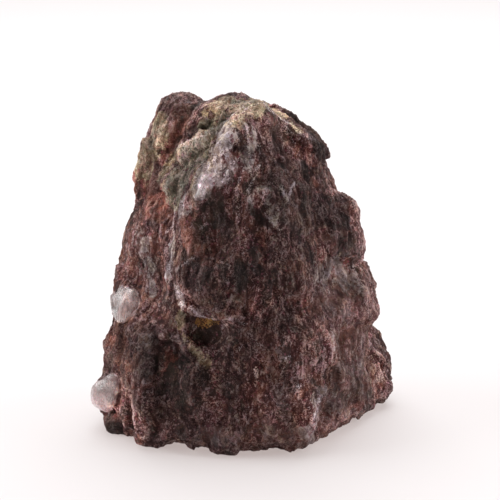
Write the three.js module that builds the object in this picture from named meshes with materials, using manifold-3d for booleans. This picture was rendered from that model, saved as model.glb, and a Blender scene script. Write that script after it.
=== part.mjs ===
// A hand specimen of pyroaurite rock: one rough, broken lump that stands on a flat patch of its underside,
// with three glassy pale crystals that sit in hollows of the rock, two on its left side and one on its front
// ridge.  Millimetres, +Z up, +X to the specimen's right and -Y towards its front.  The origin is the
// middle of the footprint, on the surface that the specimen stands on.
import * as THREE from "three";
import { ConvexHull } from "three/addons/math/ConvexHull.js";
import { ImprovedNoise } from "three/addons/math/ImprovedNoise.js";
import { mergeVertices } from "three/addons/utils/BufferGeometryUtils.js";
import Module from "manifold-3d";

const wasm = await Module();
wasm.setup();

// Driving dimensions.
const MIDDLE = new THREE.Vector3(0, 0.5, 13.5); // a point inside the rock that its whole surface can see
const HALF_SIZES = new THREE.Vector3(14, 9.5, 15); // the rock's rough half sizes, which even out its facets
const REACH = 26; // further from MIDDLE than any of the rock's surface
const EDGE_ROUND = 0.2; // how softly two broken faces of a lump meet
const LUMP_BLEND = 0.35; // how softly two lumps run into each other
const FILL = 0.15; // makes up for what the rounding takes off the corners
const FOOT_HEIGHT = 0.45; // the underside is broken flat where it comes this close to the ground
const SEAT_GAP = 0.3; // clearance between a crystal and the hollow that it sits in

// How finely the surfaces are worked out.
const ROCK_DETAIL = 17; // subdivisions of the rock's starting sphere
const CRYSTAL_DETAIL = 3; // subdivisions of a crystal's starting sphere
const STRIDE = 0.4; // steps taken inwards in search of the rock's surface
const HALVINGS = 16; // rounds that then narrow the surface down
const RELAX_STEPS = 10; // rounds that spread the rock's vertices evenly over its surface
const RELAX_PULL = 0.6; // how far a vertex goes towards its neighbours' middle in one round
const PROBE = 0.02; // spacing of the two samples that give a slope
const LONGEST_MOVE = 0.5; // the furthest that a vertex is moved onto the surface in one round
const LEAST_SLOPE = 0.5; // a slope flatter than this, in a crease, counts as this steep
const SAME_FACE = 0.02; // two normals closer than this belong to one flat face

// The rock's lumps.  Each is the rounded hull of its corners, and together they are the rock.
const LUMPS = {
  body: [
    [-10.2, -6.6, -0.3], [-8.5, -7.9, -0.5], [-4.8, -8.3, -0.5], [-1.6, -9.2, -0.5], [2.4, -8.6, -0.5],
    [5, -8.9, -0.5], [6.8, -8.4, -0.4], [8.8, -4.2, 0], [11, -1.2, 0], [13, 2.2, 0],
    [12.8, 6, 0], [8, 9, -0.5], [0, 9.3, -0.5], [-7, 8.5, -0.5], [-11.5, 4, -0.3], [-12, -1.5, 0],
    [-12, -0.5, 8], [-8.8, -5.4, 9], [4.5, -8.6, 7], [8.4, -5, 8], [12.2, 1, 9], [11.8, 6, 8],
    [6, 9, 8], [-3, 9, 8], [-10, 6, 8],
    [-10.8, 0.5, 16], [-6.3, -5.3, 16.5], [2.6, -8.3, 14.5], [6.2, -6.4, 15.5], [8.4, -4, 15], [10.7, 1, 16],
    [9.8, 5.5, 16], [3, 8, 16], [-5, 7.5, 16], [-9.6, 4.5, 17],
    [-9, 1.2, 21], [-6.5, -2, 23.5], [-3.6, -4.8, 24.5], [0, -5.8, 24], [4.5, -4.8, 23.5],
    [7.5, 0, 23.4], [7.4, 4, 23], [2, 6.5, 23], [-5, 6, 23],
    [-5, -2.2, 27], [-2, -3, 28.8], [1.2, -3, 30.7], [-2.5, 0.4, 31.5], [-0.4, 1.4, 30.9], [1.8, 1.2, 31.1],
    [3.1, 1.5, 30.2], [4.9, 1.6, 29.2], [6.9, 1.5, 28], [8.2, 1.4, 25.8], [6.4, -1.4, 27.2],
    [4.7, -2.2, 28.4], [1, 4, 29.5], [-3, 3.5, 29], [5, 4, 27],
  ],
  back_left_block: [
    [-7.2, 3, 30.9], [-6.4, 1.5, 30.7], [-5.4, 3, 30.9], [-4, 2, 30.1], [-3.8, 5.5, 29.4],
    [-7.2, 5.6, 29.6], [-8.7, 2.8, 29.2], [-9.8, 2.4, 27], [-10.2, 1.9, 24.5], [-10.5, 1.9, 22.8],
    [-9.6, 0.8, 21.2], [-7, -0.6, 21], [-6.5, -0.6, 24], [-5, 0.6, 27], [-4.3, 1.2, 29.6],
    [-9.1, 6, 24], [-4, 7, 24], [-9, 5, 20], [-3, 0, 22],
  ],
  front_knuckle: [
    [-5.4, -7.5, 14.4], [-4, -8.8, 13.4], [-1.2, -9.2, 13.1], [1, -8.8, 12.9], [-6.4, -6, 17],
    [-6.1, -5.2, 20], [-4.4, -6.2, 23.4], [-1.5, -7.6, 21], [2.6, -8.4, 17], [-2.4, -5.2, 26.4],
    [0.9, -3.6, 30.2], [3, -4.4, 27], [4.5, -5.8, 22], [-3, 2, 14], [3, 2, 14], [-2, 1, 27], [3, 1, 27],
  ],
  left_buttress: [
    [-13.1, -1.1, 8], [-11.9, -1.5, 9.4], [-10.4, -3.6, 10.4], [-9, -6.3, 10.1], [-6, -8, 10],
    [-3.6, -8.6, 9.2], [-9.5, -6.9, 4], [-10.2, -7.2, -0.3], [-8, -8.7, -0.4], [-5.4, -8.4, -0.4],
    [-3.8, -8.3, 3], [-12.2, -4.4, 1.2], [-13.1, -1.4, 5.5], [-12.8, -2.9, 1.3], [-12, 3, 8],
    [-12.1, 3, 1], [0, 0, 1], [0, 0, 9],
  ],
  front_foot: [
    [-3.6, -8.8, -0.1], [-1.8, -9.8, -0.2], [-0.8, -9.4, -0.2], [2.5, -8.8, 0], [4.9, -9.2, -0.2],
    [6.5, -8.3, -0.2], [6.2, -8, 4], [5.2, -8.8, 6.5], [0, -9.5, 5], [-2.6, -9, 5], [-1.4, -9, 9.4],
    [3, -9.2, 9], [4.6, -8.3, 13.6], [2.4, -8.9, 15.2], [-0.4, -9.1, 11.4], [0, 0, 0], [0, 0, 12], [6, 0, 2],
  ],
  right_shoulder: [
    [8.2, 1.5, 22.2], [9.8, 1.5, 20.8], [11.1, 1, 18.6], [11.2, 1, 16], [9.6, -2.2, 19],
    [8.9, -3.2, 16.5], [7.2, -3, 21.7], [8, 4.5, 22], [9.6, 5, 18], [4, 0, 20], [4, 0, 16],
  ],
  right_waist: [
    [12.2, 1, 14], [13, 1, 11.4], [12.8, 1, 9.4], [11.3, 1.2, 15.6], [10.2, -2.8, 13.4],
    [10.4, -3.2, 10], [8.5, -5.3, 12], [11.5, 5.5, 12], [11.8, 5.5, 9], [4, 0, 14], [4, 0, 9],
  ],
  right_flare: [
    [11.8, 1.5, 7.3], [12.7, 2, 5.4], [14.6, 2.8, 2.9], [15.3, 4.4, 0], [13.8, 2.4, 0],
    [11.2, -1.2, 0], [9, -4.2, 0], [8.8, -4.7, 4], [9.6, -3.9, 8.5], [12.3, 0.8, 9],
    [14.4, 6, 0.6], [12.8, 7, 6], [5, 0, 1], [5, 0, 8],
  ],
  left_flank: [
    [-12.2, -0.9, 10.1], [-12.2, -0.4, 11.8], [-11.7, 0, 14.1], [-11.2, 0.5, 17], [-10.3, 0.5, 19.5],
    [-9.4, 0.8, 21], [-7.2, -4.6, 12], [-7, -4.2, 16], [-6.8, -3.3, 20], [-10.2, 5, 18],
    [-11.1, 5, 12], [-3, 0, 20], [-3, 0, 11],
  ],
  left_nub: [
    [-13.8, -4.7, 2.1], [-14.1, -5.4, -0.5], [-12.4, -7.2, -0.5], [-10.8, -6.9, -0.4], [-11, -6.2, 2.2],
    [-13.2, -3, 2.6], [-13.2, -2.4, -0.2], [-9, -1, 0], [-9, -1, 3],
  ],
};

// Hollows worn into the rock: each an ellipsoid, by its middle and its half sizes.
const HOLLOWS = {
  pocket: { middle: [-3.3, -7.7, 11.1], half: [1.7, 2.4, 1.3] }, // the small cave under the front lip
  face_dish: { middle: [-2.6, -8.3, 20.6], half: [1.7, 1.9, 3.2] }, // the dark dish in the front face
};

// The crystals: each a worn ellipsoid, by its middle, its half sizes and its lean about Y.
const CRYSTALS = {
  lower_left_crystal: { middle: [-12.5, -2.4, 3.4], half: [1.4, 1.7, 2], lean: 0.3 },
  upper_left_crystal: { middle: [-10.7, -1.7, 11.7], half: [1.2, 1.6, 1.6], lean: 0.1 },
  ridge_crystal: { middle: [-3.4, -5.7, 24.2], half: [0.6, 0.9, 1.3], lean: 0.5 },
};

// Weathering of the rock's faces: a slow swell, and upright ribs.  A shift picks a stretch of the noise.
const SWELL = { depth: 0.8, width: 4.6, shift: 7.3 };
const RIBS = { depth: 0.8, width: 2.3, length: 10, shift: 3.7 };

// Wear of the crystals: its depth is a share of their size, and it has so many waves in a half size.
const WEAR = { depth: 0.09, waves: 1.7 };

const perlin = new ImprovedNoise();

// A smooth maximum of some distances, and a smooth minimum, that round off over about the given length.
function softMax(distances, round) {
  const top = Math.max(...distances);
  const sum = distances.reduce((total, d) => total + Math.exp((d - top) / round), 0);
  return top + round * Math.log(sum);
}

function softMin(distances, round) {
  return -softMax(distances.map((d) => -d), round);
}

// The flat faces of a lump's hull, each once, as a normal and its distance from the origin.
function hullFaces(corners) {
  const hull = new ConvexHull().setFromPoints(corners.map((c) => new THREE.Vector3(...c)));
  const faces = [];
  for (const { normal, constant } of hull.faces) {
    const known = faces.some((face) => face.normal.distanceTo(normal) < SAME_FACE);
    if (!known) faces.push({ normal: normal.clone(), constant });
  }
  return faces;
}

const lumpFaces = Object.values(LUMPS).map(hullFaces);

// How far a point is outside an ellipsoid, or inside it where the result is negative.
function outsideEllipsoid(point, middle, half) {
  const scaled = new THREE.Vector3(
    (point.x - middle[0]) / half[0],
    (point.y - middle[1]) / half[1],
    (point.z - middle[2]) / half[2],
  );
  return (scaled.length() - 1) * Math.min(...half);
}

// How much the weather has taken off the rock at a point, or left standing where the result is negative.
function weathering(p) {
  const swell = perlin.noise(p.x / SWELL.width, p.y / SWELL.width, p.z / SWELL.width + SWELL.shift);
  const ribs = perlin.noise(p.x / RIBS.width + RIBS.shift, p.y / RIBS.width, p.z / RIBS.length);
  return SWELL.depth * swell + RIBS.depth * ribs;
}

// How far a point is outside the rock, or inside it where the result is negative.
function outsideRock(p) {
  const lumps = lumpFaces.map((faces) =>
    softMax(faces.map((face) => face.normal.dot(p) - face.constant), EDGE_ROUND),
  );
  let distance = softMin(lumps, LUMP_BLEND) - FILL + weathering(p);
  for (const { middle, half } of Object.values(HOLLOWS))
    distance = softMax([distance, -outsideEllipsoid(p, middle, half)], EDGE_ROUND);
  return Math.max(distance, -p.z);
}

// A sphere of even triangles with shared vertices.
function sphere(detail) {
  const geometry = new THREE.IcosahedronGeometry(1, detail);
  geometry.deleteAttribute("normal");
  geometry.deleteAttribute("uv");
  return mergeVertices(geometry, 1e-5);
}

// Where the ray from MIDDLE in a direction leaves the rock for the last time.
function lastSurface(direction) {
  const at = (distance) => MIDDLE.clone().addScaledVector(direction, distance);
  let outer = REACH;
  while (outer > STRIDE && outsideRock(at(outer - STRIDE)) > 0) outer -= STRIDE;
  let inner = outer - STRIDE;
  for (let i = 0; i < HALVINGS; i++) {
    const half = (inner + outer) / 2;
    if (outsideRock(at(half)) > 0) outer = half;
    else inner = half;
  }
  return at(inner);
}

// Moves a point straight onto the rock's surface, by its slope there.
function ontoRock(point) {
  const distance = outsideRock(point);
  const slopes = ["x", "y", "z"].map((axis) => {
    const beside = point.clone();
    beside[axis] += PROBE;
    return (outsideRock(beside) - distance) / PROBE;
  });
  const slope = new THREE.Vector3(...slopes);
  const move = slope.clone().multiplyScalar(-distance / Math.max(slope.lengthSq(), LEAST_SLOPE ** 2));
  return point.add(move.clampLength(0, LONGEST_MOVE));
}

function neighbourLists(geometry) {
  const lists = Array.from({ length: geometry.attributes.position.count }, () => new Set());
  const index = geometry.index.array;
  for (let i = 0; i < index.length; i += 3)
    for (let k = 0; k < 3; k++) {
      const a = index[i + k];
      const b = index[i + ((k + 1) % 3)];
      lists[a].add(b);
      lists[b].add(a);
    }
  return lists.map((list) => [...list]);
}

// The rock's whole surface: a sphere drawn in to the rock, whose vertices then spread out evenly on it.
function rockGeometry() {
  const geometry = sphere(ROCK_DETAIL);
  const positions = geometry.attributes.position;
  const neighbours = neighbourLists(geometry);
  let points = neighbours.map((_, i) =>
    lastSurface(new THREE.Vector3().fromBufferAttribute(positions, i).multiply(HALF_SIZES).normalize()),
  );
  for (let round = 0; round < RELAX_STEPS; round++)
    points = points.map((point, i) => {
      const mean = new THREE.Vector3();
      neighbours[i].forEach((n) => mean.add(points[n]));
      mean.divideScalar(neighbours[i].length);
      return ontoRock(point.clone().lerp(mean, RELAX_PULL));
    });
  points.forEach((p, i) => {
    positions.setXYZ(i, p.x, p.y, p.z < FOOT_HEIGHT ? 0 : p.z);
  });
  return geometry;
}

// A crystal's surface, grown by a margin.
function crystalGeometry({ middle, half, lean }, margin = 0) {
  const geometry = sphere(CRYSTAL_DETAIL);
  const positions = geometry.attributes.position;
  const point = new THREE.Vector3();
  for (let i = 0; i < positions.count; i++) {
    point.fromBufferAttribute(positions, i);
    const wave = point.clone().multiplyScalar(WEAR.waves);
    const worn = 1 + WEAR.depth * perlin.noise(wave.x + middle[2], wave.y, wave.z);
    point.multiply(new THREE.Vector3(...half).multiplyScalar(worn).addScalar(margin));
    positions.setXYZ(i, point.x, point.y, point.z);
  }
  return geometry.rotateY(lean).translate(...middle);
}

function toSolid(geometry) {
  return new wasm.Manifold(
    new wasm.Mesh({
      numProp: 3,
      vertProperties: new Float32Array(geometry.attributes.position.array),
      triVerts: new Uint32Array(geometry.index.array),
    }),
  );
}

function toGeometry(solid) {
  const { vertProperties, triVerts } = solid.getMesh();
  const geometry = new THREE.BufferGeometry();
  geometry.setAttribute("position", new THREE.BufferAttribute(vertProperties, 3));
  geometry.setIndex(new THREE.BufferAttribute(triVerts, 1));
  geometry.computeVertexNormals();
  return geometry;
}

function namedMesh(name, geometry, material) {
  const mesh = new THREE.Mesh(geometry, material);
  mesh.name = name;
  return mesh;
}

const rockMaterial = new THREE.MeshStandardMaterial({ color: 0x4a3230, roughness: 0.8, metalness: 0 });
const crystalMaterial = new THREE.MeshStandardMaterial({ color: 0xc3bcc2, roughness: 0.3, metalness: 0 });

const specimen = new THREE.Group();

let rock = toSolid(rockGeometry());
for (const crystal of Object.values(CRYSTALS))
  rock = rock.subtract(toSolid(crystalGeometry(crystal, SEAT_GAP)));
specimen.add(namedMesh("rock", toGeometry(rock), rockMaterial));

for (const [name, crystal] of Object.entries(CRYSTALS))
  specimen.add(namedMesh(name, crystalGeometry(crystal), crystalMaterial));

// The origin goes under the middle of the whole specimen.
const box = new THREE.Box3().setFromObject(specimen, true);
specimen.position.set(-(box.min.x + box.max.x) / 2, -(box.min.y + box.max.y) / 2, -box.min.z);

export default specimen;
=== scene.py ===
"""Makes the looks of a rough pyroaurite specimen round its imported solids.

The rock gets a finely weathered skin, painted with its minerals, and each glassy crystal gets a clear
piece that has grown into it.  Lengths in the settings are in Blender's metres, and everything about the
rock's skin is in millimetres, because it is small.
"""

import math

import bpy
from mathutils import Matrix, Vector, noise
from mathutils.bvhtree import BVHTree
from mathutils.kdtree import KDTree


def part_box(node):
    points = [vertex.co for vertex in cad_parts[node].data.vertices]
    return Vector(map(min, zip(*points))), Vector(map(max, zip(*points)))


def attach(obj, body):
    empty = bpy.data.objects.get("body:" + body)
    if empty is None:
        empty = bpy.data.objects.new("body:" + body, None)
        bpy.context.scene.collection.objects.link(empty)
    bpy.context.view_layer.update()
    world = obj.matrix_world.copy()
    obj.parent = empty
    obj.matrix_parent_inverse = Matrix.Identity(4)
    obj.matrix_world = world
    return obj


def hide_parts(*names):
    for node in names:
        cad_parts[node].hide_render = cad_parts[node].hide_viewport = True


bl_info = {
    "name": "Pyroaurite specimen",
    "version": (1, 0, 0),
    "blender": (4, 5, 0),
    "location": "3D View > Sidebar > Specimen",
    "description": "Weathers and colours a rough lump of dark red-brown rock with glassy crystals",
    "category": "Object",
}

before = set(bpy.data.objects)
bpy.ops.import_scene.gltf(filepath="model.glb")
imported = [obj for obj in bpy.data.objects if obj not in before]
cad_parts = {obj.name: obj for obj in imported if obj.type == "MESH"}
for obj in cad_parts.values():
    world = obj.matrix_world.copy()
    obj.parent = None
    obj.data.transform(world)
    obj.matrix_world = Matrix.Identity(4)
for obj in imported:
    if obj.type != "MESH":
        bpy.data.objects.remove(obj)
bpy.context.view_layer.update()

MM = 0.001

CRYSTALS = ("lower_left_crystal", "upper_left_crystal", "ridge_crystal")

# How near two corners of a solid's loose triangles are when they are one corner.
MERGED = 0.001 * MM

# How many dabs a stroke has in its radius.
DABS_PER_RADIUS = 3

# How ragged the rim of a crystal is, how many times it wavers in a millimetre, and how steeply the
# crystal gets thinner there.
RIM_WAVER = 0.35
RIM_WAVERS_PER_MM = 1.1
RIM_STEEPNESS = 2

# How much the rock narrows with each millimetre of its height, as a share of its foot's width.
NARROWING = 0.0145

# Rounds of averaging that the small edges and the broad brows of the rock stand out from.
EDGE_ROUNDS = 3
BROW_ROUNDS = 30

# How far through the noise a bundle of fibres is moved at most, in millimetres, so that no two are alike.
BUNDLES_APART = 50.0

# The floor's width, and how near and how far the camera sees, in metres.
FLOOR_WIDTH = 2.4
CAMERA_SEES = (0.01, 10)

# Where each lamp stands and how wide it is, in metres, and the point that the lamps shine at.
LAMPS = {
    "key": ((0.0, 0.14, 0.28), 0.36),
    "left": ((-0.27, -0.01, 0.12), 0.2),
    "right": ((0.27, 0.01, 0.12), 0.2),
}
LAMPS_AIM = Vector((0, 0, 14 * MM))

# The width of the camera's sensor in millimetres, and the width of its square view in the units that
# the strokes below are drawn in.
SENSOR = 36
VIEW_SPAN = 500

# Strokes drawn on the rock from the camera.  Each has a name, and is (radius in millimetres, strength,
# points), and a point is counted across and down the camera's view.

# How far each stroke stands out of the rock in millimetres, or is sunk into it where that is negative.
SHAPE = {
    "left ridge": (1.5, 0.5, [
        (259, 107), (240, 121), (224, 133), (205, 138), (188, 146), (174, 160), (167, 180)]),
    "gully": (1.2, -0.35, [(190, 132), (176, 144), (166, 155), (160, 172), (158, 200)]),
    "beside the gully": (1.3, 0.6, [(203, 114), (199, 122), (192, 130)]),
    "hollow": (1.3, -0.45, [(208, 128), (218, 121), (230, 115)]),
    "speckled dip": (1.2, -0.35, [(178, 190), (184, 170), (194, 158), (206, 147)]),
    "silky ridge": (1.2, 0.4, [(232, 135), (216, 150), (207, 162), (200, 176), (196, 190), (193, 203)]),
    "recess": (2.0, -0.2, [(212, 208), (213, 228)]),
    "plate": (1.1, 0.45, [(186, 210), (190, 230), (194, 250)]),
    "knuckle": (3.0, 0.5, [(216, 286), (228, 292)]),
    "beside the knuckle": (1.6, -0.4, [(250, 290), (252, 320), (246, 345)]),
    "lip": (0.6, 0.4, [(186, 305), (195, 311), (212, 315), (230, 316), (242, 318)]),
    "cave": (1.2, -0.4, [(196, 336), (212, 334)]),
    "flank gully": (1.2, -0.4, [(166, 215), (160, 250), (156, 290)]),
    "crease": (1.1, -0.1, [(336, 263), (350, 258)]),
    "right ridge": (1.3, 0.35, [(262, 108), (280, 119), (294, 130), (311, 140), (326, 155)]),
    "below the right ridge": (1.6, -0.35, [(284, 140), (304, 158), (318, 180)]),
    "buttress edge": (1.5, 0.55, [(148, 340), (145, 362), (143, 390), (146, 418)]),
    "buttress dip": (2.0, -0.5, [(170, 350), (168, 380), (172, 406)]),
    "buttress top": (1.4, 0.4, [(106, 333), (122, 323), (142, 326), (166, 334), (186, 346)]),
    "pale edge": (1.0, 0.5, [(319, 386), (312, 410), (305, 436)]),
    "beside the edge": (1.2, -0.6, [(330, 376), (326, 404), (319, 430)]),
    "nub": (1.4, 0.75, [(114, 426)]),
    "beside the nub": (0.7, -0.6, [(130, 412), (131, 430)]),
    "chest ridge": (1.2, 0.35, [(246, 124), (247, 145), (243, 170)]),
    "chest dip": (1.4, -0.45, [(258, 204), (262, 235)]),
    "fork": (0.8, 0.3, [(268, 190), (276, 207), (273, 222)]),
    "foot knob": (1.6, 0.4, [(200, 428), (222, 440)]),
    "foot bump": (1.1, 0.5, [(219, 448), (231, 448)]),
    "small foot bump": (0.8, 0.5, [(191, 447)]),
    "foot hollow": (1.8, -0.3, [(248, 450), (268, 450)]),
    "left foot": (1.6, 0.35, [(146, 442), (160, 445)]),
    "right knob": (1.6, 0.35, [(292, 436)]),
    "lower dip": (2.0, -0.35, [(262, 350), (258, 390), (250, 420)]),
    "block shoulder": (2.2, -0.55, [(160, 100), (153, 112), (150, 124)]),
    "block top": (1.6, -0.4, [(168, 95), (180, 92), (190, 95)]),
    "block side": (1.2, 0.35, [(146, 142), (143, 158), (140, 172)]),
    "block waist": (3.0, -0.45, [(127, 224), (125, 232), (123, 240)]),
    "left bulge": (2.2, -0.65, [(112, 320), (109, 328)]),
    "crystal shoulder": (1.8, -0.1, [(100, 378)]),
    "plateau rim": (1.6, -0.5, [(222, 92), (240, 94)]),
    "peak rim": (1.6, -0.4, [(266, 101), (284, 106), (300, 117)]),
    "right rim": (1.7, -0.5, [(329, 168), (332, 174)]),
    "right waist": (2.2, 0.45, [(357, 248)]),
    "right flank": (2.5, -0.45, [(370, 272), (374, 280)]),
    "right foot": (3.2, -0.95, [(381, 340), (385, 350), (388, 360)]),
    "above the right shoulder": (1.8, 0.45, [(342, 198), (350, 206)]),
    "under the right shoulder": (2.2, -0.8, [(336, 184), (339, 188)]),
    "right notch": (1.5, 0.6, [(370, 318), (372, 325)]),
    "lower crystal": (1.4, 0.15, [(98, 390), (98, 398)]),
    "beside the cave": (0.8, -0.35, [(190, 319), (196, 321)]),
    "under the lower crystal": (0.8, -0.3, [(103, 413), (110, 413)]),
    "under the brow": (0.8, 0.3, [(321, 163)]),
}

# Where each mineral shows: the dry crust, the green crust, the rusty and silky patches, the dark patches,
# which are dark mineral and painted shade in hollows and on facets turned from the lamps, the pale threads,
# and the ochre in the cave.
CRUST = {
    "block edge": (1.9, 1, [(158, 123), (153, 138), (148, 155), (145, 168)]),
    "left ridge": (1.0, 0.9, [
        (259, 107), (240, 121), (224, 133), (205, 140), (190, 149), (176, 160), (166, 182)]),
    "plateau": (1.6, 1, [(222, 98), (240, 104), (256, 103), (267, 107)]),
    "plateau front": (1.3, 0.8, [(214, 110), (232, 114), (246, 113)]),
    "tan line": (0.9, 0.8, [(228, 138), (212, 148), (202, 168), (196, 186)]),
    "right ridge": (0.8, 0.9, [(264, 107), (274, 112), (281, 118)]),
    "cave rim": (0.7, 0.8, [(182, 314), (181, 328), (186, 342), (196, 352), (208, 362)]),
    "along the right ridge": (0.4, 0.7, [(281, 118), (290, 127), (298, 134)]),
}

MOSS = {
    "speckled band": (2.0, 1, [(174, 192), (180, 173), (190, 161), (202, 153)]),
    "hollow": (1.3, 1.2, [(209, 130), (217, 123), (228, 117)]),
    "plateau": (0.9, 0.8, [(238, 101), (250, 104)]),
    "block edge": (1.1, 0.5, [(154, 128), (149, 150)]),
    "right of the peak": (0.9, 0.6, [(269, 113), (277, 118)]),
    "cave": (1.0, 0.6, [(196, 342), (188, 332)]),
}

RUST = {
    "block": (2.2, 1.3, [(186, 116), (184, 130), (172, 146)]),
    "block foot": (2.2, 1.3, [(144, 182), (154, 184), (148, 200), (158, 203)]),
    "block middle": (1.0, 0.8, [(157, 152), (163, 166)]),
    "plate": (1.2, 0.8, [(186, 222), (190, 238), (195, 252)]),
    "left flank": (5.0, 0.5, [(135, 240), (138, 290), (124, 340)]),
    "peak": (0.8, 0.8, [(222, 96), (233, 99)]),
    "front specks": (0.8, 0.4, [(212, 262), (236, 256)]),
    "right shoulder": (3.0, 0.15, [(300, 150), (315, 180)]),
    "foot": (3.0, 0.4, [(356, 400), (330, 420)]),
    "behind the right ridge": (1.8, 0.6, [(292, 116), (306, 126), (316, 140)]),
    "below the recess": (0.6, 0.9, [(204, 260), (206, 266)]),
}

SILK = {
    "silky ridge": (1.4, 1.15, [(226, 138), (221, 152), (215, 163), (208, 172)]),
    "below the ridge": (1.0, 1.1, [(206, 180), (203, 192)]),
    "plate top": (1.1, 0.8, [(184, 196), (188, 206), (180, 214)]),
    "flank streak": (0.8, 0.9, [(173, 243), (172, 258), (169, 275)]),
    "white spot": (0.7, 0.9, [(179, 288), (182, 301)]),
    "right patch": (2.0, 0.75, [(318, 276), (332, 271), (347, 279)]),
    "fork": (0.8, 0.7, [(264, 192), (274, 206), (273, 222)]),
    "beside the fork": (0.8, 0.6, [(250, 196), (255, 212)]),
    "chest ridge": (0.8, 0.6, [(249, 124), (252, 145), (246, 170)]),
    "lower right": (4.0, 0.3, [(330, 340), (350, 360), (366, 382), (336, 402)]),
    "pale edge": (1.3, 0.7, [(319, 392), (312, 408), (309, 425), (313, 438)]),
    "left flank": (2.0, 0.5, [(150, 270), (140, 240)]),
    "flank spot": (0.6, 1, [(151, 284), (152, 293)]),
    "lilac arc": (1.1, 0.8, [(230, 166), (226, 174), (221, 182)]),
}

# The dark patches: the green-black mineral, and painted shade in the cave, the pits and hollows, and on the
# knuckle and the buttress front, which face away from the lamps.
DARK_MINERAL_AND_SHADE = {
    "recess": (2.4, 0.9, [(212, 206), (213, 222)]),
    "below the recess": (1.6, 0.5, [(222, 238), (226, 256)]),
    "pit": (0.9, 1.4, [(240, 265), (242, 284)]),
    "cave": (1.4, 0.9, [(198, 334), (214, 334)]),
    "beside the cave": (0.7, 0.9, [(190, 320), (196, 322)]),
    "chest dip": (1.0, 0.85, [(258, 214), (260, 226)]),
    "chest hollow": (1.4, 0.5, [(268, 168), (272, 180)]),
    "knuckle": (3.0, 0.45, [(220, 290)]),
    "buttress front": (3.6, 0.55, [(170, 352), (168, 376), (176, 404)]),
    "block hole": (0.6, 1.2, [(196, 106), (200, 108)]),
    "crease": (0.9, 0.4, [(336, 263), (350, 258)]),
    "block top": (1.8, 0.35, [(180, 108), (172, 118)]),
    "nub": (1.3, 1.2, [(114, 422), (117, 428)]),
    "fork hollow": (0.6, 0.8, [(283, 206), (283, 220)]),
}

THREADS = {
    "right ridge": (0.3, 1, [(262, 108), (275, 118), (288, 127), (300, 136), (312, 141)]),
    "below the right ridge": (0.25, 0.8, [(284, 128), (290, 134), (296, 142)]),
    "tongue": (0.28, 1, [(258, 166), (257, 174), (252, 182), (248, 190), (249, 198), (252, 205)]),
    "tongue edge": (0.22, 0.7, [(246, 164), (249, 174), (253, 181)]),
    "chest": (0.35, 0.9, [(246, 128), (247, 142), (248, 156)]),
    "beside the chest": (0.22, 0.7, [(256, 130), (258, 144), (260, 156)]),
    "left prong": (0.3, 1.5, [(281, 187), (284, 194), (287, 200)]),
    "right prong": (0.25, 1.3, [(294, 183), (290, 188), (290, 193), (287, 200)]),
    "prong tail": (0.22, 0.8, [(287, 200), (288, 209), (291, 216)]),
    "fork": (0.28, 1, [(262, 196), (266, 203), (269, 211)]),
    "fork foot": (0.28, 1, [(267, 214), (272, 222), (280, 229)]),
    "right of the fork": (0.3, 0.7, [(276, 205), (278, 216), (275, 226)]),
    "beside the recess": (0.3, 0.8, [(240, 178), (237, 192), (238, 207), (237, 222)]),
    "recess": (0.22, 0.8, [(202, 226), (211, 224), (220, 226)]),
    "recess end": (0.35, 0.8, [(201, 228), (203, 232)]),
    "below the recess": (0.22, 0.8, [(227, 258), (230, 270), (235, 279), (236, 290)]),
    "plate edge": (0.25, 0.9, [(176, 208), (173, 224), (175, 240), (172, 256), (169, 272)]),
    "beside the plate": (0.25, 0.9, [(165, 232), (172, 226)]),
    "plate foot": (0.22, 1, [(186, 262), (192, 258), (199, 258)]),
    "curl": (0.22, 0.9, [(177, 271), (182, 265), (190, 263)]),
    "white streak": (0.4, 0.9, [(177, 286), (181, 294), (182, 302)]),
    "knuckle": (0.22, 0.8, [(198, 288), (205, 295), (210, 302)]),
    "lip": (0.25, 1.2, [(186, 304), (193, 307), (199, 313), (208, 316), (222, 317), (231, 316)]),
    "lower lip": (0.22, 0.8, [(189, 310), (194, 314), (200, 317)]),
    "broken lip": (0.22, 0.9, [(221, 324), (228, 325)]),
    "broken lip end": (0.22, 0.8, [(238, 324), (248, 325)]),
    "cave": (0.25, 0.8, [(190, 333), (195, 329), (199, 325)]),
    "front tick": (0.3, 1, [(236, 352), (241, 348)]),
    "front dash": (0.25, 1, [(258, 345), (263, 347)]),
    "front bundle": (0.3, 0.8, [(287, 356), (285, 366), (282, 376)]),
    "beside the front bundle": (0.22, 0.7, [(291, 356), (290, 366)]),
    "front glint": (0.35, 1, [(256, 370), (257, 377)]),
    "edge glint": (0.3, 1, [(298, 387), (303, 385)]),
    "pale edge": (0.35, 0.8, [(319, 392), (313, 404), (309, 418)]),
    "beside the pale edge": (0.3, 0.8, [(322, 400), (323, 410), (326, 420)]),
    "from the peak": (0.25, 0.8, [(256, 108), (244, 116), (234, 126), (226, 138), (220, 150)]),
    "over the hollow": (0.25, 0.7, [(250, 106), (236, 118), (222, 130), (206, 137)]),
    "left ridge": (0.3, 0.9, [(206, 137), (192, 142), (180, 152), (172, 164)]),
    "silky ridge": (0.3, 0.9, [(238, 140), (228, 150), (216, 160), (208, 170)]),
    "lilac arc": (0.25, 0.8, [(240, 158), (232, 164), (226, 172), (222, 182)]),
    "block": (0.22, 0.8, [(176, 104), (186, 102), (196, 100)]),
    "block hole": (0.2, 1, [(196, 108), (199, 104), (203, 107), (200, 110)]),
}

OCHRE = {
    "cave": (0.7, 1.0, [(202, 322), (214, 320)]),
}
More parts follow.
